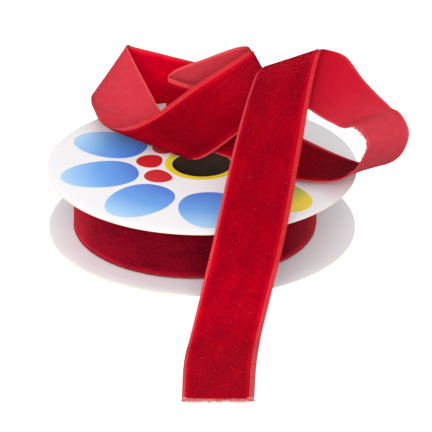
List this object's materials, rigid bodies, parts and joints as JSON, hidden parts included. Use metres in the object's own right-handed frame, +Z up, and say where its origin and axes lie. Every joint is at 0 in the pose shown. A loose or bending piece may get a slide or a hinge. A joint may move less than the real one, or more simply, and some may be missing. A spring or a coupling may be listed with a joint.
{
  "type": "roll of ribbon on a spool",
  "caption": "Velvet ribbon wound on a flat spool with round card flanges, its loose end looped over the top flange and running down the front onto the table.",
  "frame": {"origin": "bottom centre of the object's box, on the surface the spool lies on", "axes": "+Z up along the spool's axis, -Y towards the ribbon's cut end, +X to the right seen from that end"},
  "size_m": [0.1246, 0.1822, 0.0688],
  "materials": {
    "flange_card": "matte",
    "printed_card": "satin",
    "core_card": "matte",
    "wound_velvet": "matte",
    "loose_velvet": "matte"
  },
  "bodies": {
    "root": {"flange_bottom": "flange_card", "flange_top": "printed_card", "core": "core_card", "ribbon_roll": "wound_velvet", "ribbon_tail": "loose_velvet"}
  },
  "joints": []
}
